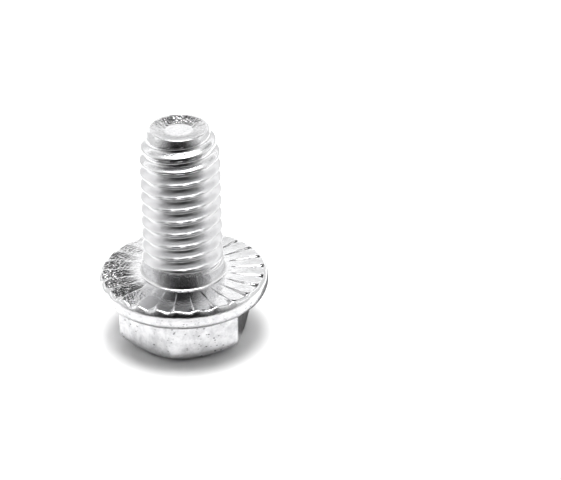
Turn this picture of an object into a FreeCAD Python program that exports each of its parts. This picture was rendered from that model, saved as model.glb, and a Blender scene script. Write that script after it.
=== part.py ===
# A hex flange bolt with a serrated seat, 3/8-16 by 3/4 inch, cold headed and rolled from one
# piece of steel. Millimetres and degrees. The bolt stands on its head, with the thread pointing
# up along +Z. The origin is on the axis, level with the rim that the head stands on. Angles are
# counted from +X, anticlockwise seen from the tip.

import FreeCAD
import Part

import math
import os

from FreeCAD import Vector

INCH = 25.4

# Overall lengths
HEAD_HEIGHT = 8.45  # rim of the head to the bearing seat
SHANK_LENGTH = 18.65  # bearing seat to the tip, 3/4 inch less its tolerance

# Hexagon
HEX_ACROSS_FLATS = 14.22  # 9/16 inch less its tolerance
HEX_CORNER_ROUND = 0.45
HEX_CORNER_ANGLE = 0.0
HEAD_RIM_RADIUS = 6.15  # where the chamfer meets the top of the head
HEAD_CHAMFER_SLOPE = 30.0
HEAD_RIM_LAND = 0.14  # flat rim that the bolt stands on
RECESS_WALL_WIDTH = 0.42
RECESS_DEPTH = 0.6

# Flange
FLANGE_RADIUS = 9.96
FLANGE_CONE_SLOPE = 30.0  # of the head side
FLANGE_SHOULDER_RADIUS = 2.0  # rounds the head side into the rim
FLANGE_SHOULDER_DEPTH = 1.3  # below the seat, where that round ends
FLANGE_EDGE_RADIUS = 0.6  # rounds the rim into the seat

# Serrations of the seat: ramps that fall anticlockwise, each with a steep side after it
TOOTH_COUNT = 25
TOOTH_DEPTH = 0.36  # at the rim of the flange
TOOTH_RAMP_SHARE = 0.72  # of one tooth, the rest is the steep side
TOOTH_LAND_ANGLE = 0.7  # flat crest between two teeth
TOOTH_INNER_RADIUS = 5.9
TOOTH_START_ANGLE = -0.4

# Plain neck under the thread
NECK_RADIUS = 4.76
NECK_LENGTH = 2.15
NECK_FILLET = 0.75
NECK_CHAMFER_LENGTH = 0.2

# Thread, 3/8-16 UNC, right hand. Its flanks lie true and meet in a V, without the small round
# that rolling leaves at the root, and a narrow land stands for the rounded crest.
THREAD_PITCH = INCH / 16
THREAD_CREST_LAND = 0.21 * THREAD_PITCH
THREAD_FLANK_ANGLE = 30.0
THREAD_NECK_RADIUS = 4.70  # of the crest, at the neck
THREAD_POINT_RADIUS = 4.68  # of the crest, where the point begins
THREAD_START_HEIGHT = 2.36  # above the seat, where the groove has its full depth
THREAD_START_ANGLE = 69.6
RUN_OUT_TURNS = 0.5  # over which the groove rises out of the neck
RUN_OUT_LIFT = 0.05  # of the groove clear of the neck, at the run-out's end

# Point, with a cupped end
POINT_LENGTH = 3.95
POINT_ARC_RADIUS = 6.75
POINT_EDGE_ROUND = 0.3
CUP_RADIUS = 3.05
CUP_FLOOR_RADIUS = 1.8
CUP_DEPTH = 0.5

# How far a cutting shape reaches past the surface that it cuts
CUT_CLEARANCE = 0.3

# Largest turn over one of the short cones that make a round
ROUND_STEP = 45.0

SEAT_Z = HEAD_HEIGHT
TIP_Z = SEAT_Z + SHANK_LENGTH
TOOTH_ANGLE = 360.0 / TOOTH_COUNT
ORIGIN = Vector(0, 0, 0)
UP = Vector(0, 0, 1)


def slope(angle):
    return math.tan(math.radians(angle))


def polar(radius, angle, z):
    turn = math.radians(angle)
    return Vector(radius * math.cos(turn), radius * math.sin(turn), z)


def at_section(radius, z):
    return Vector(radius, 0, z)


def turned(shape, angle):
    copy = shape.copy()
    copy.rotate(ORIGIN, UP, angle)
    return copy


def revolved(points):
    return Part.Face(Part.makePolygon(points + points[:1])).revolve(ORIGIN, UP, 360)


def rounding(centre, radius, start_angle, end_angle):
    # Points on an arc of the section, for a round made of short cones. Angles are counted from
    # the outward direction towards +Z.
    count = math.ceil(abs(end_angle - start_angle) / ROUND_STEP)
    points = []
    for i in range(count + 1):
        turn = math.radians(start_angle + (end_angle - start_angle) * i / count)
        points.append(centre + at_section(radius * math.cos(turn), radius * math.sin(turn)))
    return points


def flange():
    edge_centre = at_section(FLANGE_RADIUS - FLANGE_EDGE_RADIUS, SEAT_Z - FLANGE_EDGE_RADIUS)
    seat_edge = rounding(edge_centre, FLANGE_EDGE_RADIUS, 90, 0)
    shoulder_centre = at_section(FLANGE_RADIUS - FLANGE_SHOULDER_RADIUS, SEAT_Z - FLANGE_SHOULDER_DEPTH)
    shoulder = rounding(shoulder_centre, FLANGE_SHOULDER_RADIUS, 0, FLANGE_CONE_SLOPE - 90)
    # The cone runs on inside the hexagon
    inner_radius = HEX_ACROSS_FLATS / 4
    inner_z = shoulder[-1].z - (shoulder[-1].x - inner_radius) * slope(FLANGE_CONE_SLOPE)
    inner = [at_section(inner_radius, inner_z), at_section(0, inner_z)]
    return revolved([at_section(0, SEAT_Z)] + seat_edge + shoulder + inner)


def head():
    corner_radius = HEX_ACROSS_FLATS / math.sqrt(3)
    corners = [polar(corner_radius, HEX_CORNER_ANGLE + 60 * i, 0) for i in range(7)]
    top_z = SEAT_Z - FLANGE_SHOULDER_DEPTH
    prism = Part.Face(Part.makePolygon(corners)).extrude(UP * top_z)
    uprights = [edge for edge in prism.Edges if abs(edge.tangentAt(edge.FirstParameter).z) > 0.5]
    prism = prism.makeFillet(HEX_CORNER_ROUND, uprights)
    outer_radius = corner_radius + CUT_CLEARANCE
    chamfer_z = (outer_radius - HEAD_RIM_RADIUS) * slope(HEAD_CHAMFER_SLOPE)
    envelope = revolved([
        at_section(0, 0),
        at_section(HEAD_RIM_RADIUS, 0),
        at_section(outer_radius, chamfer_z),
        at_section(outer_radius, top_z),
        at_section(0, top_z),
    ])
    return prism.common(envelope).cut(recess())


def recess():
    mouth_radius = HEAD_RIM_RADIUS - HEAD_RIM_LAND
    floor_radius = mouth_radius - RECESS_WALL_WIDTH
    low_radius = mouth_radius + CUT_CLEARANCE * RECESS_WALL_WIDTH / RECESS_DEPTH
    height = RECESS_DEPTH + CUT_CLEARANCE
    return Part.makeCone(low_radius, floor_radius, height, UP * -CUT_CLEARANCE)


def serration_ring():
    # Everything over the seat outside the serrations' inner wall, which slopes at 45 degrees
    inner = TOOTH_INNER_RADIUS
    outer = FLANGE_RADIUS + 2 * CUT_CLEARANCE
    reach = TOOTH_DEPTH + CUT_CLEARANCE
    return revolved([
        at_section(inner - CUT_CLEARANCE, SEAT_Z + CUT_CLEARANCE),
        at_section(inner + reach, SEAT_Z - reach),
        at_section(outer, SEAT_Z - reach),
        at_section(outer, SEAT_Z + CUT_CLEARANCE),
    ])


def serration():
    # A pyramid with its apex at the middle of the seat: both sides of the tooth space are planes
    reach = (FLANGE_RADIUS + CUT_CLEARANCE) / FLANGE_RADIUS
    radius = FLANGE_RADIUS * reach
    apex = at_section(0, SEAT_Z)
    ramp_top = polar(radius, TOOTH_LAND_ANGLE / 2, SEAT_Z)
    valley = polar(radius, TOOTH_ANGLE * TOOTH_RAMP_SHARE, SEAT_Z - TOOTH_DEPTH * reach)
    steep_top = polar(radius, TOOTH_ANGLE - TOOTH_LAND_ANGLE / 2, SEAT_Z)
    ramp_top += (ramp_top - valley) * CUT_CLEARANCE
    steep_top += (steep_top - valley) * CUT_CLEARANCE
    triangles = [
        (apex, ramp_top, valley),
        (apex, valley, steep_top),
        (apex, steep_top, ramp_top),
        (ramp_top, steep_top, valley),
    ]
    faces = [Part.Face(Part.makePolygon([a, b, c, a])) for a, b, c in triangles]
    return Part.makeSolid(Part.makeShell(faces)).common(serration_ring())


def serrations():
    space = serration()
    return [turned(space, TOOTH_START_ANGLE + TOOTH_ANGLE * i) for i in range(TOOTH_COUNT)]


def point_outline():
    arc_centre = at_section(THREAD_POINT_RADIUS - POINT_ARC_RADIUS, TIP_Z - POINT_LENGTH)
    # The edge round lies inside the point's arc and touches the end plane
    round_height = POINT_LENGTH - POINT_EDGE_ROUND
    round_reach = math.sqrt((POINT_ARC_RADIUS - POINT_EDGE_ROUND) ** 2 - round_height ** 2)
    round_centre = arc_centre + at_section(round_reach, round_height)
    touch_angle = math.degrees(math.atan2(round_height, round_reach))
    point_arc = rounding(arc_centre, POINT_ARC_RADIUS, 0, touch_angle)
    return point_arc[:-1] + rounding(round_centre, POINT_EDGE_ROUND, touch_angle, 90)


def shank():
    neck_end = SEAT_Z + NECK_LENGTH
    root_z = SEAT_Z - FLANGE_SHOULDER_DEPTH
    fillet_centre = at_section(NECK_RADIUS + NECK_FILLET, SEAT_Z + NECK_FILLET)
    neck = rounding(fillet_centre, NECK_FILLET, -90, -180)
    neck += [at_section(NECK_RADIUS, neck_end), at_section(THREAD_NECK_RADIUS, neck_end + NECK_CHAMFER_LENGTH)]
    cup = [
        at_section(CUP_RADIUS, TIP_Z),
        at_section(CUP_FLOOR_RADIUS, TIP_Z - CUP_DEPTH),
        at_section(0, TIP_Z - CUP_DEPTH),
    ]
    foot = [at_section(0, root_z), at_section(neck[0].x, root_z)]
    return revolved(neck + point_outline() + cup + foot)


def thread_depth():
    return (THREAD_PITCH - THREAD_CREST_LAND) / 2 / slope(THREAD_FLANK_ANGLE)


def groove_profile():
    # Past the crest the flanks run on by less than the land, then the sides are parallel
    overrun = THREAD_CREST_LAND / 2
    half_width = (thread_depth() + overrun) * slope(THREAD_FLANK_ANGLE)
    flank_radius = THREAD_NECK_RADIUS + overrun
    outer_radius = max(NECK_RADIUS, flank_radius) + CUT_CLEARANCE
    root = at_section(THREAD_NECK_RADIUS - thread_depth(), 0)
    return Part.makePolygon([
        root,
        at_section(flank_radius, half_width),
        at_section(outer_radius, half_width),
        at_section(outer_radius, -half_width),
        at_section(flank_radius, -half_width),
        root,
    ])


def swept_groove(turns, rise):
    # The rise is how far the groove moves outward over these turns
    height = turns * THREAD_PITCH
    cone_angle = math.degrees(math.atan2(rise, height))
    path = Part.makeHelix(THREAD_PITCH, height, THREAD_NECK_RADIUS, cone_angle)
    sweep = Part.BRepOffsetAPI.MakePipeShell(Part.Wire(path.Edges))
    sweep.setBiNormalMode(UP)
    sweep.add(groove_profile())
    sweep.build()
    sweep.makeSolid()
    return sweep.shape()


def thread_groove():
    start = UP * (SEAT_Z + THREAD_START_HEIGHT)
    run_out_rise = NECK_RADIUS + RUN_OUT_LIFT - THREAD_NECK_RADIUS + thread_depth()
    run_out = swept_groove(RUN_OUT_TURNS, run_out_rise)
    # Turned over, the run-out leads down and clockwise from the start
    run_out.rotate(ORIGIN, Vector(1, 0, 0), 180)
    one_turn = swept_groove(1, 0)
    turn_count = math.ceil((SHANK_LENGTH - THREAD_START_HEIGHT) / THREAD_PITCH + 0.5)
    pieces = [run_out]
    for i in range(turn_count):
        piece = one_turn.copy()
        piece.translate(UP * (THREAD_PITCH * i))
        pieces.append(piece)
    for piece in pieces:
        piece.translate(start)
    return [turned(piece, THREAD_START_ANGLE) for piece in pieces]


def flange_bolt():
    threaded = shank().cut(thread_groove())
    seat = flange().cut(serrations())
    return threaded.fuse([seat, head()])


os.makedirs("parts", exist_ok=True)
bolt = flange_bolt()
bolt.exportStep("parts/flange_bolt.step")
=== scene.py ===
import math

import bmesh
import bpy
from mathutils import Matrix, Vector, noise


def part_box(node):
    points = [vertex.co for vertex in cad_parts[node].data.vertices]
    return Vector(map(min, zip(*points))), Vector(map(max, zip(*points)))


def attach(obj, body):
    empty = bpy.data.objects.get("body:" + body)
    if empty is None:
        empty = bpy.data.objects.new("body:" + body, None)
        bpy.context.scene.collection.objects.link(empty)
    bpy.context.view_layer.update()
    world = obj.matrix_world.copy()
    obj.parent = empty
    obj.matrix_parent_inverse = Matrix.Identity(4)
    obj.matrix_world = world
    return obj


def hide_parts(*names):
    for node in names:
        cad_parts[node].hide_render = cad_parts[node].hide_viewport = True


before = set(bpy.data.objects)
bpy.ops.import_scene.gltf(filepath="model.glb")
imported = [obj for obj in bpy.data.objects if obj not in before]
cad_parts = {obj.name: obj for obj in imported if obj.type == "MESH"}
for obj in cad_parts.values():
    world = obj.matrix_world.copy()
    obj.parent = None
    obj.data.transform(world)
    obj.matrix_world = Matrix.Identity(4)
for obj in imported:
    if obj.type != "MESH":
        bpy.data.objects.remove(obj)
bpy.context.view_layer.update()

# All sizes here are millimetres and degrees. The bolt stands on its head, so heights count up
# from the rim of the head, and angles count anticlockwise seen from the thread's tip.
mm = 0.001
boltLow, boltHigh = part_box("flange_bolt")
tipHeight = boltHigh.z / mm
flangeRadius = (boltHigh.y - boltLow.y) / 2 / mm - 0.01  # just inside the solid's rim


def arcPoints(centreRadius, centreHeight, radius, start, end, count):
    # points of a round in the bolt's section, angles from the outward direction upwards
    points = []
    for i in range(count + 1):
        turn = math.radians(start + (end - start) * i / count)
        points.append((centreRadius + radius * math.cos(turn), centreHeight + radius * math.sin(turn)))
    return points


def linePoints(start, end, count):
    return [(start[0] + (end[0] - start[0]) * i / count, start[1] + (end[1] - start[1]) * i / count)
            for i in range(count + 1)]


def mix(low, high, share):
    return low + (high - low) * share


def clamp(share):
    return min(1, max(0, share))


def softMin(one, other, reach):
    # the smaller of two radii, with their crossing rounded over this reach
    near = max(reach - abs(one - other), 0) / reach
    return min(one, other) - near * near * reach / 4


# Thread, neck, point and the cup in its end
shank = {
    "seatHeight": 8.45,
    "neckRadius": 4.76,
    "neckLength": 2.15,
    "neckChamfer": 0.2,
    "neckFillet": 0.42,
    "filletTop": 0.4,  # over the seat, up to where the fillet has its own finish
    "crestRadiusLow": 4.70,
    "crestRadiusHigh": 4.68,
    "crestRound": 0.12,
    "leastCrestRound": 0.15,  # the share of that round left where the groove runs out
    "rootRadius": 3.86,
    "rootRound": 0.38,
    "pitch": 25.4 / 16,
    "flankAngle": 30,
    "startHeight": 2.36,  # over the seat, where the groove is at its full depth
    "startAngle": 69.6,
    "runOutTurns": 0.46,
    "runOutOver": 0.08,  # how far outside the neck the run-out begins
    "pointLength": 3.95,
    "pointArc": 6.75,
    "pointEdge": 0.16,
    "pointRootDrop": 0.45,  # how much deeper the groove runs at the tip
    "pointRootStart": 2.8,  # below the tip, where it begins to
    "pointRootReach": 2,
    "cupRadius": 3.0,
    "cupFloorRadius": 1.6,
    "cupFloorStops": (0, 0.3, 0.6, 0.85),  # rings on its floor
    "cupDepth": 0.36,
    "cupSideRings": 12,
    "cupSteepening": 1.05,  # over 1 the side gets steeper towards the lip
    "cupLip": (0.06, 0.014),  # width and drop of its narrow bevel
    "ringGap": 0.086,
}


def cupOutline():
    s = shank
    floor = tipHeight - s["cupDepth"]
    lipWidth, lipDrop = s["cupLip"]
    points = [(s["cupFloorRadius"] * share, floor) for share in s["cupFloorStops"]]
    for i in range(s["cupSideRings"] + 1):
        share = i / s["cupSideRings"]
        height = floor + s["cupDepth"] * share ** s["cupSteepening"]
        points.append((mix(s["cupFloorRadius"], s["cupRadius"], share), height))
    points[-1] = (s["cupRadius"], tipHeight - lipDrop)
    points.append((s["cupRadius"] + lipWidth, tipHeight))
    return points


def pointOutline():
    s = shank
    arcRadius = s["crestRadiusHigh"] - s["pointArc"]
    arcHeight = tipHeight - s["pointLength"]
    roundHeight = s["pointLength"] - s["pointEdge"]
    roundReach = math.sqrt((s["pointArc"] - s["pointEdge"]) ** 2 - roundHeight ** 2)
    touch = math.degrees(math.atan2(roundHeight, roundReach))
    edge = arcPoints(arcRadius + roundReach, arcHeight + roundHeight, s["pointEdge"], 90, touch, 6)
    length = math.radians(touch) * s["pointArc"]
    arc = arcPoints(arcRadius, arcHeight, s["pointArc"], touch, 0, round(length / s["ringGap"]))
    return edge + arc[1:]


def threadOutline():
    s = shank
    top = tipHeight - s["pointLength"]
    neckTop = s["seatHeight"] + s["neckLength"] + s["neckChamfer"]
    neckFoot = s["seatHeight"] + s["neckFillet"]
    count = round((top - neckTop) / s["ringGap"])
    points = linePoints((s["crestRadiusHigh"], top), (s["crestRadiusLow"], neckTop), count)[1:]
    points += linePoints(points[-1], (s["neckRadius"], neckTop - s["neckChamfer"]), 3)[1:]
    count = round((neckTop - s["neckChamfer"] - neckFoot) / s["ringGap"])
    points += linePoints(points[-1], (s["neckRadius"], neckFoot), count)[1:]
    fillet = arcPoints(s["neckRadius"] + s["neckFillet"], neckFoot, s["neckFillet"], 180, 270, 8)
    return points + fillet[1:]


def grooveRadius(angle, height):
    # the groove's own surface at this place, whether or not it reaches the bolt's outline, and
    # how far its edge is rounded
    s = shank
    over = height - s["seatHeight"] - s["startHeight"]
    turn = ((angle - s["startAngle"]) % 360) / 360
    slope = 1 / math.tan(math.radians(s["flankAngle"]))
    depth = s["neckRadius"] - s["rootRadius"] + s["runOutOver"]
    rootEnd = math.radians(90 - s["flankAngle"])
    flankStart = s["rootRound"] * math.sin(rootEnd)
    deeper = clamp((height - tipHeight + s["pointRootStart"]) / s["pointRootReach"])
    root = s["rootRadius"] - s["pointRootDrop"] * deeper
    lowest = math.inf
    reach = s["crestRound"]
    for lap in (max(0, round(over / s["pitch"] - turn)), -1):
        away = abs(over - s["pitch"] * (turn + lap))
        lift = 0.0
        if lap < 0:
            # the lap before the first is the run-out, which rises until it leaves the neck
            before = (1 - turn) / s["runOutTurns"]
            if before > 1:
                continue
            lift = depth * before
        if away < flankStart:
            rise = s["rootRound"] - math.sqrt(s["rootRound"] ** 2 - away ** 2)
        else:
            rise = s["rootRound"] * (1 - math.cos(rootEnd)) + (away - flankStart) * slope
        if root + rise + lift < lowest:
            lowest = root + rise + lift
            reach = s["crestRound"] * max(s["leastCrestRound"], 1 - lift / depth)
    return lowest, reach


# Flange with the serrations of its seat
flange = {
    "seatGap": 0.1,  # from the neck's fillet to the first ring of the seat
    "lipRound": 0.22,  # where the seat turns over the rim
    "lipSlope": 48,
    "edgeRound": 1.2,  # below the lip
    "shoulderRound": 1.9,
    "shoulderDepth": 1.12,
    "coneSlope": 30,
    "teeth": 25,
    "toothInner": 5.2,  # radius where the teeth begin
    "toothStart": -0.4,
    "toothDepth": 0.33,  # at the rim
    "depthSpread": 0.45,  # how much one tooth differs from the next
    "depthNoise": (0.77, 4.2, 1.1),  # step from tooth to tooth in the noise, and the row it runs in
    "deepSide": 0.5,  # how much deeper they are on one side
    "deepAngle": 175,
    "rampShare": 0.90,
    "landShare": 0.03,
    "stops": (0.0, 0.03, 0.15, 0.29, 0.43, 0.57, 0.70, 0.82, 0.90, 0.925, 0.95, 0.98),
    "stopsReach": 0.4,  # over which the columns turn from even to those of a tooth
    "settleReach": 0.7,  # from the neck's fillet, over which the teeth begin
    "wornShare": 0.16,  # of a tooth to each side, over which the rim is worn round
    "wornStart": 0.7,  # inside the end of the flat
    "wornReach": 0.8,
    "wideWaves": (0.014, 1.3),  # height of the seat's unevenness, and noise steps in a millimetre
    "closeWaves": (0.012, 4),
    "rimWaves": 2.5,  # how much higher both are where the rim begins
    "rimStart": 0.05,  # outside the flat, where the rim has its own finish
}


def lipRadius():
    # where the flat of the seat ends
    f = flange
    slope = math.radians(f["lipSlope"])
    return flangeRadius - f["edgeRound"] * (1 - math.cos(slope)) - f["lipRound"] * math.cos(slope)


def seatOutline():
    f = flange
    seat = shank["seatHeight"]
    start = shank["neckRadius"] + shank["neckFillet"] + f["seatGap"]
    points = linePoints((start, seat), (lipRadius(), seat), 15)
    points += arcPoints(lipRadius(), seat - f["lipRound"], f["lipRound"], 90, f["lipSlope"], 5)[1:]
    slope = math.radians(f["lipSlope"])
    drop = f["lipRound"] * (1 - math.sin(slope)) + f["edgeRound"] * math.sin(slope)
    points += arcPoints(flangeRadius - f["edgeRound"], seat - drop, f["edgeRound"], f["lipSlope"], 0, 8)[1:]
    return points


def toothDepthAt(angle):
    # depth of the tooth space at the rim, each a little different from the next
    f = flange
    slack = 0.001  # rounding can put a column of a crest just before it
    turn = (angle - f["toothStart"]) * f["teeth"] / 360
    tooth = math.floor(turn + slack) % f["teeth"]
    share = turn % 1
    if share > 1 - slack:
        share = 0
    step, *row = f["depthNoise"]
    deepest = f["toothDepth"] * (1 + f["depthSpread"] * noise.noise(Vector((tooth * step, *row))))
    deepest *= 1 + f["deepSide"] * math.cos(math.radians(angle - f["deepAngle"]))
    if share < f["landShare"] or share > 1 - f["landShare"]:
        return 0.0
    if share < f["rampShare"]:
        return deepest * (share - f["landShare"]) / (f["rampShare"] - f["landShare"])
    return deepest * (1 - f["landShare"] - share) / (1 - f["landShare"] - f["rampShare"])


def seatHeightAt(angle, radius, height):
    f = flange
    edgeStart = lipRadius()
    fall = (min(radius, edgeStart) - f["toothInner"]) / (flangeRadius - f["toothInner"])
    # the teeth are worn round towards the rim, so their depth is the mean of five places
    worn = clamp((radius - edgeStart + f["wornStart"]) / f["wornReach"])
    spread = f["wornShare"] * 360 / f["teeth"] * worn
    depths = [toothDepthAt(angle + spread * step) for step in (-1, -0.5, 0, 0.5, 1)]
    deep = sum(depths) / len(depths) * max(fall, 0)
    place = Vector((math.cos(math.radians(angle)), math.sin(math.radians(angle)), 0)) * radius
    wideHeight, wide = f["wideWaves"]
    closeHeight, close = f["closeWaves"]
    uneven = wideHeight * noise.noise(place * wide) + closeHeight * noise.noise(place * close)
    settle = clamp((radius - shank["neckRadius"] - shank["neckFillet"]) / f["settleReach"])
    deep *= settle
    uneven *= settle
    if radius > edgeStart:
        # the wave of the teeth dies away down the rim
        outward = (radius - edgeStart) / (flangeRadius - edgeStart)
        deep *= 1 - outward ** 2
        uneven *= f["rimWaves"] * (1 - outward)
    return height - deep + uneven


# Head: hexagon, its chamfer, and the shallow recess of the top that the bolt stands on
head = {
    "acrossFlats": 14.22,
    "cornerRound": 0.6,
    "cornerAngle": 0,
    "cornerCrowd": 0.72,  # how closely the columns crowd at the corners, at most 1
    "rimRadius": 6.15,
    "rimLand": 0.14,
    "chamferSlope": 30,
    "edgeRound": 0.7,  # between side and chamfer
    "edgeEnd": (0.87, 0.5),  # shares of it, inwards and down, to where it meets the chamfer
    "recessWall": 0.42,
    "recessDepth": 0.6,
    "mouthEdge": (0.02, 0.03),  # narrow bevel at the mouth of the recess, inwards and deep
    "floorEdge": (0.03, 0.04, 0.06),  # and at its floor: outwards, up the wall, and inwards
    "floorRadii": (4.4, 3, 1.5, 0),  # rings on its floor
    "spreadRings": 3,  # rings of the recess over which the columns spread out evenly
    # rings down the head, as shares of each stretch
    "coneStops": (0.2, 0.45, 0.7, 0.88, 0.97),
    "sideStops": (0.0, 0.03, 0.2, 0.4, 0.6, 0.8, 0.92),
    "edgeStops": (0, 0.2, 0.4, 0.6, 0.8, 1),
    "chamferStops": (0.1, 0.3, 0.5, 0.7, 0.88, 0.97),
}


def hexRadius(angle):
    h = head
    away = abs((angle - h["cornerAngle"] + 30) % 60 - 30)
    flat = h["acrossFlats"] / 2
    centre = (flat - h["cornerRound"]) / math.cos(math.radians(30))
    turn = math.radians(away)
    touch = math.atan2(h["cornerRound"] / 2, centre + h["cornerRound"] * math.cos(math.radians(30)))
    if turn > touch:
        return flat / math.cos(math.radians(30) - turn)
    return centre * math.cos(turn) + math.sqrt(h["cornerRound"] ** 2 - (centre * math.sin(turn)) ** 2)


def headSection(angle):
    # rings from the flange's shoulder down over the hexagon and its chamfer to the rim
    f = flange
    h = head
    coneSlope = math.tan(math.radians(f["coneSlope"]))
    chamferSlope = math.tan(math.radians(h["chamferSlope"]))
    shoulderEnd = math.radians(90 - f["coneSlope"])
    startRadius = flangeRadius - f["shoulderRound"] * (1 - math.cos(shoulderEnd))
    startHeight = shank["seatHeight"] - f["shoulderDepth"] - f["shoulderRound"] * math.sin(shoulderEnd)
    outer = hexRadius(angle)
    join = startHeight - (startRadius - outer) * coneSlope
    foot = (outer - h["rimRadius"]) * chamferSlope
    points = [(mix(startRadius, outer, share), mix(startHeight, join, share)) for share in h["coneStops"]]
    sideEnd = foot + h["edgeRound"]
    points += [(outer, mix(join, sideEnd, share)) for share in h["sideStops"]]
    # the edge between side and chamfer is a quadratic curve from one to the other
    inwards, down = h["edgeEnd"]
    chamferStart = (outer - h["edgeRound"] * inwards, foot - h["edgeRound"] * down)
    for share in h["edgeStops"]:
        low = (outer, mix(sideEnd, foot, share))
        high = (mix(outer, chamferStart[0], share), mix(foot, chamferStart[1], share))
        points.append((mix(low[0], high[0], share), mix(low[1], high[1], share)))
    points += [(mix(chamferStart[0], h["rimRadius"], share), mix(chamferStart[1], 0, share))
               for share in h["chamferStops"]]
    return points


def recessOutline():
    h = head
    mouth = h["rimRadius"] - h["rimLand"]
    floor = mouth - h["recessWall"]
    deep = h["recessDepth"]
    edge, edgeDeep = h["mouthEdge"]
    outwards, upwards, inwards = h["floorEdge"]
    points = [(h["rimRadius"] - edge, 0), (mouth + edge, 0)]
    points += linePoints((mouth - edge, edgeDeep), (floor + outwards, deep - upwards), 4)
    points.append((floor - inwards, deep))
    return points + [(radius, deep) for radius in h["floorRadii"]]


print("outline of the bolt")
segments = flange["teeth"] * len(flange["stops"])
cup = cupOutline()
point = pointOutline()
thread = threadOutline()
seat = seatOutline()
shoulder = arcPoints(flangeRadius - flange["shoulderRound"], shank["seatHeight"] - flange["shoulderDepth"],
                     flange["shoulderRound"], 0, flange["coneSlope"] - 90, 9)
hexagon = headSection(15)  # at any angle: shapeVertex gives each column of the head its own
recess = recessOutline()
outline = cup + point[1:] + thread + seat + shoulder + hexagon + recess
zones = (["cup"] * len(cup) + ["point"] * (len(point) - 1) + ["thread"] * len(thread) + ["seat"] * len(seat)
         + ["shoulder"] * len(shoulder) + ["head"] * len(hexagon) + ["recess"] * len(recess))
headStart = zones.index("head")
seatEnd = headStart - len(shoulder)
seatStart = zones.index("seat")


def ringAngle(number, angle):
    # rings of the seat crowd their columns at the tooth edges, and rings of the head at the corners
    f = flange
    zone = zones[number]
    step = 360 / segments
    column = round(angle / step)
    even = column * step
    tooth, stop = divmod(column, len(f["stops"]))
    toothed = f["toothStart"] + (tooth + f["stops"][stop]) * 360 / f["teeth"]
    wave = math.sin(math.radians(6 * (even - head["cornerAngle"])))
    cornered = even - head["cornerCrowd"] * math.degrees(wave) / 6
    if zone == "seat":
        outward = outline[number][0] - outline[seatStart][0]
        return mix(even, toothed, clamp(outward / f["stopsReach"]))
    if zone == "shoulder":
        return mix(toothed, cornered, (number - seatEnd) / (len(shoulder) - 1))
    if zone == "head":
        return cornered
    if zone == "recess":
        ring = number - headStart - len(hexagon)
        return mix(cornered, even, min(1, ring / head["spreadRings"]))
    return even


# Finish of each stretch, as shares of the most there is: grain is how coarse the plating is,
# soft how dull rolling or the dies left it, and marks how many clouds and specks it has
finish = {
    "cup": {"grain": 0.85, "soft": 0.0, "marks": 0.2},
    "cupFloor": {"grain": 0.15, "soft": 0.0, "marks": 0.2},
    "point": {"grain": 0.14, "soft": 0.3, "marks": 0.2},
    "thread": {"grain": 0.04, "soft": 1.0, "marks": 0.1},
    "neck": {"grain": 0.35, "soft": 0.3, "marks": 0.1},
    "fillet": {"grain": 0.04, "soft": 0.3, "marks": 0.1},
    "seat": {"grain": 0.12, "soft": 0.0, "marks": 0.2},
    "rim": {"grain": 0.2, "soft": 0.0, "marks": 0.2},
    "shoulder": {"grain": 0.35, "soft": 0.5, "marks": 0.9},
    "head": {"grain": 0.14, "soft": 1.0, "marks": 1.0},
    "recess": {"grain": 1.0, "soft": 0.0, "marks": 0.2},
}

# The side of the seat where the plating is coarser
coarseSide = {
    "angle": 165,
    "grain": 0.6,  # added to that of the seat
    "innerRadius": 6.2,
    "reach": 1.6,
}


def finishAt(zone, angle, radius, height):
    part = zone
    if zone == "cup" and radius <= shank["cupFloorRadius"]:
        part = "cupFloor"
    elif zone == "seat" and radius > lipRadius() + flange["rimStart"]:
        part = "rim"
    elif zone == "thread" and height < shank["seatHeight"] + shank["neckLength"]:
        part = "neck" if height > shank["seatHeight"] + shank["filletTop"] else "fillet"
    values = dict(finish[part])
    if part == "seat":
        side = max(0, math.cos(math.radians(angle - coarseSide["angle"]))) ** 2
        outward = clamp((radius - coarseSide["innerRadius"]) / coarseSide["reach"])
        values["grain"] += coarseSide["grain"] * side * outward
    return values


def shapeVertex(vertex, number, sections):
    radius, height = outline[number]
    if radius == 0:
        return
    angle = math.degrees(math.atan2(vertex.co.y, vertex.co.x)) % 360
    angle = ringAngle(number, angle)
    zone = zones[number]
    if zone in ("point", "thread"):
        radius = softMin(radius, *grooveRadius(angle, height))
    elif zone == "seat":
        height = seatHeightAt(angle, radius, height)
    elif zone == "head":
        key = round(angle, 4)
        if key not in sections:
            sections[key] = headSection(angle)
        radius, height = sections[key][number - headStart]
    turn = math.radians(angle)
    vertex.co = (radius * math.cos(turn), radius * math.sin(turn), height)
    for name, value in finishAt(zone, angle, radius, height).items():
        vertex[finishLayers[name]] = value


print("bolt, spun and shaped")
sharpAngle = 38  # edges that bend more than this stay sharp
bm = bmesh.new()
ringLayer = bm.verts.layers.int.new("ring")
finishLayers = {name: bm.verts.layers.float.new(name) for name in ("grain", "soft", "marks")}
previous = None
for number, (radius, height) in enumerate(outline):
    vertex = bm.verts.new((radius, 0, height))
    vertex[ringLayer] = number
    if previous:
        bm.edges.new((previous, vertex))
    previous = vertex
bmesh.ops.spin(bm, geom=bm.verts[:] + bm.edges[:], cent=(0, 0, 0), axis=(0, 0, 1), dvec=(0, 0, 0),
               angle=math.tau, steps=segments, use_merge=True, use_duplicate=False)
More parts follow.
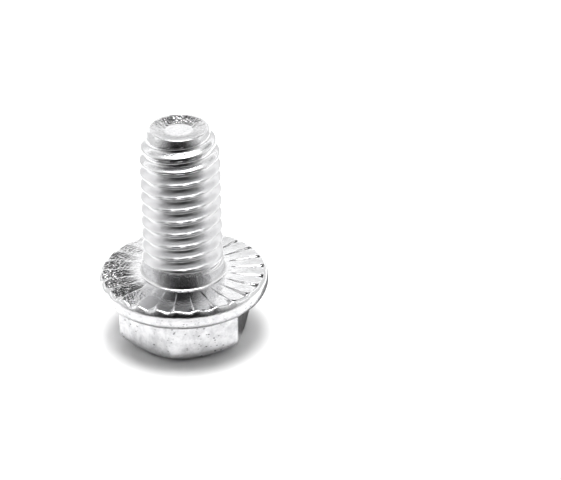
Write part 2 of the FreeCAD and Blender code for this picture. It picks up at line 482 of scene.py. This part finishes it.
# the ends on the axis become one point each
bmesh.ops.remove_doubles(bm, verts=[v for v in bm.verts if v.co.xy.length < 0.0001], dist=0.0001)
headSections = {}
for vertex in bm.verts:
    shapeVertex(vertex, vertex[ringLayer], headSections)
bmesh.ops.recalc_face_normals(bm, faces=bm.faces)
for face in bm.faces:
    face.smooth = True
for edge in bm.edges:
    if edge.is_manifold and edge.calc_face_angle() > math.radians(sharpAngle):
        edge.smooth = False
bmesh.ops.scale(bm, vec=(mm, mm, mm), verts=bm.verts)
boltMesh = bpy.data.meshes.new("bolt")
bm.to_mesh(boltMesh)
bm.free()
bolt = bpy.data.objects.new("bolt", boltMesh)
bpy.context.scene.collection.objects.link(bolt)
print("faces", len(boltMesh.polygons))


def linear(code):
    # sRGB hex to linear colour
    values = []
    for i in (0, 2, 4):
        part = int(code[i:i + 2], 16) / 255
        values.append(part / 12.92 if part <= 0.04045 else ((part + 0.055) / 1.055) ** 2.4)
    return (*values, 1)


def addNode(tree, kind, links=None, **settings):
    # one node with its settings, and links given as socket name: output of another node
    node = tree.nodes.new(kind)
    for name, value in settings.items():
        if hasattr(node, name):
            setattr(node, name, value)
        else:
            node.inputs[name.replace("_", " ")].default_value = value
    for name, output in (links or {}).items():
        tree.links.new(output, node.inputs[name])
    return node


# Sizes in mm. The edges are levels of the noise where a patch begins and where it is full.
zinc = {
    "colour": "e0e0e1",
    "roughness": 0.18,
    "softRoughness": 0.28,  # where rolling or the dies left it duller
    "cloudColour": "c2c2c4",  # faint cloudy patches
    "cloudSize": 1.1,
    "cloudEdges": (0.40, 0.66),
    "speckColour": "3a3a3a",
    "speckSpacing": 0.62,
    "speckFlattening": 1.8,  # specks are this much shorter along the bolt
    "speckEdges": (0.26, 0.12),  # in cells from its middle, where a speck begins and is full
    "speckPatch": 2.2,  # size of the patches that have specks
    "speckPatchEdges": (0.43, 0.56),
    "fineGrain": 0.2,
    "fineDepth": 0.014,
    "coarseGrain": 0.29,  # coarser than the real one so that it shows
    "coarseDepth": 0.09,
}


def zincPlate():
    # bright zinc plating on cold-formed steel: clear reflections over a fine grain, with coarse
    # patches that sparkle black and white. Sockets 6 and 7 of a Mix node are its two colours.
    material = bpy.data.materials.new("zincPlate")
    material.use_nodes = True
    tree = material.node_tree
    shader = tree.nodes["Principled BSDF"]
    shader.inputs["Metallic"].default_value = 1
    soft = addNode(tree, "ShaderNodeAttribute", attribute_name="soft")
    rough = addNode(tree, "ShaderNodeMapRange", {"Value": soft.outputs["Fac"]},
                    To_Min=zinc["roughness"], To_Max=zinc["softRoughness"])
    tree.links.new(rough.outputs["Result"], shader.inputs["Roughness"])
    # specks, in patches and only as far as the finish has marks
    place = addNode(tree, "ShaderNodeTexCoord")
    flat = addNode(tree, "ShaderNodeMapping", {"Vector": place.outputs["Object"]},
                   Scale=(1, 1, zinc["speckFlattening"]))
    cells = addNode(tree, "ShaderNodeTexVoronoi", {"Vector": flat.outputs["Vector"]},
                    Scale=1 / (zinc["speckSpacing"] * mm))
    dot = addNode(tree, "ShaderNodeMapRange", {"Value": cells.outputs["Distance"]},
                  From_Min=zinc["speckEdges"][0], From_Max=zinc["speckEdges"][1])
    patches = addNode(tree, "ShaderNodeTexNoise", {"Vector": place.outputs["Object"]},
                      Scale=1 / (zinc["speckPatch"] * mm), Detail=3.0)
    where = addNode(tree, "ShaderNodeMapRange", {"Value": patches.outputs["Fac"]},
                    From_Min=zinc["speckPatchEdges"][0], From_Max=zinc["speckPatchEdges"][1])
    marks = addNode(tree, "ShaderNodeAttribute", attribute_name="marks")
    there = addNode(tree, "ShaderNodeMath", operation="MULTIPLY")
    tree.links.new(where.outputs["Result"], there.inputs[0])
    tree.links.new(marks.outputs["Fac"], there.inputs[1])
    speck = addNode(tree, "ShaderNodeMath", operation="MULTIPLY")
    tree.links.new(dot.outputs["Result"], speck.inputs[0])
    tree.links.new(there.outputs[0], speck.inputs[1])
    # clouds
    wide = addNode(tree, "ShaderNodeTexNoise", {"Vector": place.outputs["Object"]},
                   Scale=1 / (zinc["cloudSize"] * mm), Detail=5.0, Roughness=0.7)
    cloud = addNode(tree, "ShaderNodeMapRange", {"Value": wide.outputs["Fac"]},
                    From_Min=zinc["cloudEdges"][0], From_Max=zinc["cloudEdges"][1])
    cloudy = addNode(tree, "ShaderNodeMath", operation="MULTIPLY")
    tree.links.new(cloud.outputs["Result"], cloudy.inputs[0])
    tree.links.new(marks.outputs["Fac"], cloudy.inputs[1])
    plate = addNode(tree, "ShaderNodeMix", {"Factor": cloudy.outputs[0]}, data_type="RGBA")
    plate.inputs[6].default_value = linear(zinc["colour"])
    plate.inputs[7].default_value = linear(zinc["cloudColour"])
    colour = addNode(tree, "ShaderNodeMix", {"Factor": speck.outputs[0]}, data_type="RGBA")
    tree.links.new(plate.outputs[2], colour.inputs[6])
    colour.inputs[7].default_value = linear(zinc["speckColour"])
    tree.links.new(colour.outputs[2], shader.inputs["Base Color"])
    # fine grain all over, and the coarse one on top of it
    fine = addNode(tree, "ShaderNodeTexNoise", {"Vector": place.outputs["Object"]},
                   Scale=1 / (zinc["fineGrain"] * mm), Detail=2.0, Roughness=0.5)
    fineBump = addNode(tree, "ShaderNodeBump", {"Height": fine.outputs["Fac"]},
                       Strength=1.0, Distance=zinc["fineDepth"] * mm)
    coarse = addNode(tree, "ShaderNodeTexNoise", {"Vector": place.outputs["Object"]},
                     Scale=1 / (zinc["coarseGrain"] * mm), Detail=1.0, Roughness=0.5)
    grain = addNode(tree, "ShaderNodeAttribute", attribute_name="grain")
    bumpLinks = {"Height": coarse.outputs["Fac"], "Strength": grain.outputs["Fac"],
                 "Normal": fineBump.outputs["Normal"]}
    coarseBump = addNode(tree, "ShaderNodeBump", bumpLinks, Distance=zinc["coarseDepth"] * mm)
    tree.links.new(coarseBump.outputs["Normal"], shader.inputs["Normal"])
    return material


print("materials")
boltMesh.materials.append(zincPlate())

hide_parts("flange_bolt")
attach(bolt, "root")

print("floor, light and camera")


def mattMaterial(name, colour):
    # paper, card or cloth without any gloss
    material = bpy.data.materials.new(name)
    material.use_nodes = True
    shader = material.node_tree.nodes["Principled BSDF"]
    shader.inputs["Base Color"].default_value = linear(colour)
    shader.inputs["Roughness"].default_value = 1
    return material


def hideFromAllButMetal(piece):
    piece.visible_camera = False
    piece.visible_diffuse = False
    piece.visible_shadow = False


# White paper that the bolt stands on
paper = {
    "colour": "f8f8f8",
    "halfWidth": 3000,
}
floorMesh = bpy.data.meshes.new("floor")
bm = bmesh.new()
bmesh.ops.create_grid(bm, x_segments=1, y_segments=1, size=paper["halfWidth"] * mm)
bm.to_mesh(floorMesh)
bm.free()
floor = bpy.data.objects.new("floor", floorMesh)
bpy.context.scene.collection.objects.link(floor)
floorMesh.materials.append(mattMaterial("whitePaper", paper["colour"]))

# The camera stands where the photograph was taken from, worked out from the seat's place in it
view = {
    "turn": -20.4,
    "pitch": 29.46,
    "roll": -0.726,
    "distance": 304.6,
    "focal": 2600,  # pixels of the frame
    "frameWidth": 561,
    "frameHeight": 480,
    "seatPixel": (183.465, 269.238),
    "gamma": 0.92,  # for the contrast of the photograph
}


def placeCamera():
    camera = bpy.data.cameras.new("camera")
    camera.sensor_width = 36
    camera.lens = view["focal"] / view["frameWidth"] * camera.sensor_width
    camera.clip_start = 0.01
    camera.clip_end = 20
    eye = bpy.data.objects.new("camera", camera)
    bpy.context.scene.collection.objects.link(eye)
    turned = (Matrix.Rotation(math.radians(view["turn"]), 3, "Z")
              @ Matrix.Rotation(math.radians(90 - view["pitch"]), 3, "X")
              @ Matrix.Rotation(math.radians(view["roll"]), 3, "Z"))
    right = (view["seatPixel"][0] - view["frameWidth"] / 2) / view["focal"] * view["distance"]
    up = -(view["seatPixel"][1] - view["frameHeight"] / 2) / view["focal"] * view["distance"]
    seatSeen = Vector((right, up, -view["distance"]))
    place = Vector((0, 0, shank["seatHeight"])) - turned @ seatSeen
    eye.matrix_world = Matrix.Translation(place * mm) @ turned.to_4x4()
    bpy.context.scene.camera = eye


# Light tent: white walls that are brightest about 30 degrees up, a brighter roof, and a dark
# band high at the back. Heights in it are sines of the angle over the horizon.
tent = {
    "strength": 1.15,
    "walls": ((0.0, 0.75), (0.40, 0.85), (0.45, 1.1), (0.48, 1.6), (0.51, 1.6), (0.57, 0.85),
              (0.90, 0.85), (0.95, 4.8)),  # height and brightness
    "bandColour": "010101",
    "bandHeights": (0.62, 0.68, 0.88, 0.93),  # where it begins, is full, begins to end, has ended
    "bandSides": (0.66, 0.82),  # cosines from straight behind, where it begins and is full
}


def whiteTent():
    world = bpy.data.worlds.new("studio")
    world.use_nodes = True
    tree = world.node_tree
    background = tree.nodes["Background"]
    direction = addNode(tree, "ShaderNodeTexCoord")
    parts = addNode(tree, "ShaderNodeSeparateXYZ", {"Vector": direction.outputs["Generated"]})
    ramp = addNode(tree, "ShaderNodeValToRGB", {"Fac": parts.outputs["Z"]})
    brightest = max(level for height, level in tent["walls"])
    stops = ramp.color_ramp.elements
    while len(stops) < len(tent["walls"]):
        stops.new(0.5)
    for stop, (height, level) in zip(stops, tent["walls"]):
        stop.position = height
        stop.color = (level / brightest, level / brightest, level / brightest, 1)
    # the compass direction, and how nearly it points straight behind the bolt
    flat = addNode(tree, "ShaderNodeVectorMath", {"Vector": direction.outputs["Generated"]},
                   operation="MULTIPLY")
    flat.inputs[1].default_value = (1, 1, 0)
    compass = addNode(tree, "ShaderNodeVectorMath", {"Vector": flat.outputs["Vector"]},
                      operation="NORMALIZE")
    behind = addNode(tree, "ShaderNodeVectorMath", {"Vector": compass.outputs["Vector"]},
                     operation="DOT_PRODUCT")
    back = math.radians(view["turn"] + 90)
    behind.inputs[1].default_value = (math.cos(back), math.sin(back), 0)
    sides = addNode(tree, "ShaderNodeMapRange", {"Value": behind.outputs["Value"]},
                    From_Min=tent["bandSides"][0], From_Max=tent["bandSides"][1])
    low, lowFull, highFull, high = tent["bandHeights"]
    rise = addNode(tree, "ShaderNodeMapRange", {"Value": parts.outputs["Z"]},
                   From_Min=low, From_Max=lowFull)
    fall = addNode(tree, "ShaderNodeMapRange", {"Value": parts.outputs["Z"]},
                   From_Min=high, From_Max=highFull)
    band = addNode(tree, "ShaderNodeMath", operation="MULTIPLY")
    tree.links.new(rise.outputs["Result"], band.inputs[0])
    tree.links.new(fall.outputs["Result"], band.inputs[1])
    dark = addNode(tree, "ShaderNodeMath", operation="MULTIPLY")
    tree.links.new(band.outputs[0], dark.inputs[0])
    tree.links.new(sides.outputs["Result"], dark.inputs[1])
    colour = addNode(tree, "ShaderNodeMix", {"Factor": dark.outputs[0]}, data_type="RGBA")
    colour.inputs[7].default_value = linear(tent["bandColour"])
    tree.links.new(ramp.outputs["Color"], colour.inputs[6])
    tree.links.new(colour.outputs[2], background.inputs["Color"])
    background.inputs["Strength"].default_value = brightest * tent["strength"]
    bpy.context.scene.world = world


# Dark cloth round the camera for the unlit side of the room, part of a dome and of the ground
# before it, painted lighter towards its edges. Its part on the ground is painted shade: a dark
# sheet over the white paper that only the metal sees.
darkClothAndPaintedShade = {
    "colour": "1c1c1c",
    # painted light: the colour the cloth lightens to at its edges and, on the ground, near the bolt
    "edgeColour": "f0f0f0",
    "radius": 150,
    "halfWidth": 80,  # degrees to each side
    "top": 72,  # degrees over the ground
    "fadeAcross": 18,  # degrees from its middle to where it begins to lighten
    "fadeUp": 50,
    "near": 24,  # where its part on the ground begins
    "fadeNear": 75,  # over which it darkens from there
    "lift": 0.1,  # of that part over the paper
    "fadePower": 1.3,
    "columns": 24,
}


def clothAndShadeStrip(name, section, clothAndPaintedShade):
    d = darkClothAndPaintedShade
    bm = bmesh.new()
    line = [bm.verts.new((reach * mm, 0, height * mm)) for reach, height in section]
    edges = [bm.edges.new(pair) for pair in zip(line, line[1:])]
    halfWidth = math.radians(d["halfWidth"])
    facing = math.radians(view["turn"] - 90)
    bmesh.ops.rotate(bm, verts=line, cent=(0, 0, 0), matrix=Matrix.Rotation(facing - halfWidth, 3, "Z"))
    bmesh.ops.spin(bm, geom=line + edges, cent=(0, 0, 0), axis=(0, 0, 1), dvec=(0, 0, 0),
                   angle=halfWidth * 2, steps=d["columns"], use_merge=False, use_duplicate=False)
    # painted light: the colour lightens towards the strip's sides and top, and on the ground towards the
    # bolt
    paintedLightening = bm.verts.layers.float.new("paintedLightening")
    middle = Vector((math.cos(facing), math.sin(facing)))
    for vertex in bm.verts:
        across = math.degrees(middle.angle(vertex.co.xy))
        up = math.degrees(math.atan2(vertex.co.z, vertex.co.xy.length))
        side = (across - d["fadeAcross"]) / (d["halfWidth"] - d["fadeAcross"])
        above = (up - d["fadeUp"]) / (d["top"] - d["fadeUp"])
        near = 1 - (vertex.co.length / mm - d["near"]) / d["fadeNear"]
        vertex[paintedLightening] = max(0, side, above, near) ** d["fadePower"]
    mesh = bpy.data.meshes.new(name)
    bm.to_mesh(mesh)
    bm.free()
    screen = bpy.data.objects.new(name, mesh)
    bpy.context.scene.collection.objects.link(screen)
    mesh.materials.append(clothAndPaintedShade)
    return screen


def darkSide():
    d = darkClothAndPaintedShade
    clothAndPaintedShade = mattMaterial("blackClothAndPaintedShade", d["colour"])
    tree = clothAndPaintedShade.node_tree
    shade = addNode(tree, "ShaderNodeAttribute", attribute_name="paintedLightening")
    colour = addNode(tree, "ShaderNodeMix", {"Factor": shade.outputs["Fac"]}, data_type="RGBA")
    colour.inputs[6].default_value = linear(d["colour"])
    colour.inputs[7].default_value = linear(d["edgeColour"])
    tree.links.new(colour.outputs[2], tree.nodes["Principled BSDF"].inputs["Base Color"])
    # the part on the ground is painted shade, seen only in the metal where the camera sees white paper
    flat = linePoints((d["near"], d["lift"]), (d["radius"], d["lift"]), 12)
    ground = clothAndShadeStrip("paintedShadeGround", flat, clothAndPaintedShade)
    hideFromAllButMetal(ground)
    dome = arcPoints(0, 0, d["radius"], 0, d["top"], 18)
    # the wall keeps some light from the floor too, which deepens the shadow beside the head
    wall = clothAndShadeStrip("wallScreen", dome, clothAndPaintedShade)
    wall.visible_camera = False


# Grey card lying to the right behind the bolt, seen only in the metal: painted shadow, standing in for
# the neighbouring bolt and the shade it casts on the paper there
greyCardPaintedShadow = {
    "colour": "6c6c6c",
    "place": (19, 7),
    "width": 30,
    "length": 18,
    "lift": 0.1,
}


def sideCardPaintedShadow():
    g = greyCardPaintedShadow
    bm = bmesh.new()
    bmesh.ops.create_grid(bm, x_segments=1, y_segments=1, size=0.5)
    bmesh.ops.scale(bm, vec=(g["width"] * mm, g["length"] * mm, 1), verts=bm.verts)
    x, y = g["place"]
    bmesh.ops.rotate(bm, verts=bm.verts, cent=(0, 0, 0), matrix=Matrix.Rotation(math.atan2(y, x), 3, "Z"))
    bmesh.ops.translate(bm, verts=bm.verts, vec=(x * mm, y * mm, g["lift"] * mm))
    mesh = bpy.data.meshes.new("sideCardPaintedShadow")
    bm.to_mesh(mesh)
    bm.free()
    card = bpy.data.objects.new("sideCardPaintedShadow", mesh)
    bpy.context.scene.collection.objects.link(card)
    mesh.materials.append(mattMaterial("greyCardPaintedShadow", g["colour"]))
    hideFromAllButMetal(card)


# Round softbox overhead, a little to the camera's side, whose own reflection is left out
softbox = {
    "watts": 0.92,
    "place": (-10, -25, 400),
    "width": 190,
}


def overheadLight():
    light = bpy.data.lights.new("softbox", "AREA")
    light.shape = "DISK"
    light.size = softbox["width"] * mm
    light.energy = softbox["watts"]
    lamp = bpy.data.objects.new("softbox", light)
    lamp.location = Vector(softbox["place"]) * mm
    bpy.context.scene.collection.objects.link(lamp)
    lamp.visible_camera = False
    lamp.visible_glossy = False


placeCamera()
whiteTent()
darkSide()
sideCardPaintedShadow()
overheadLight()
bpy.context.scene.view_settings.view_transform = "Standard"
bpy.context.scene.view_settings.gamma = view["gamma"]
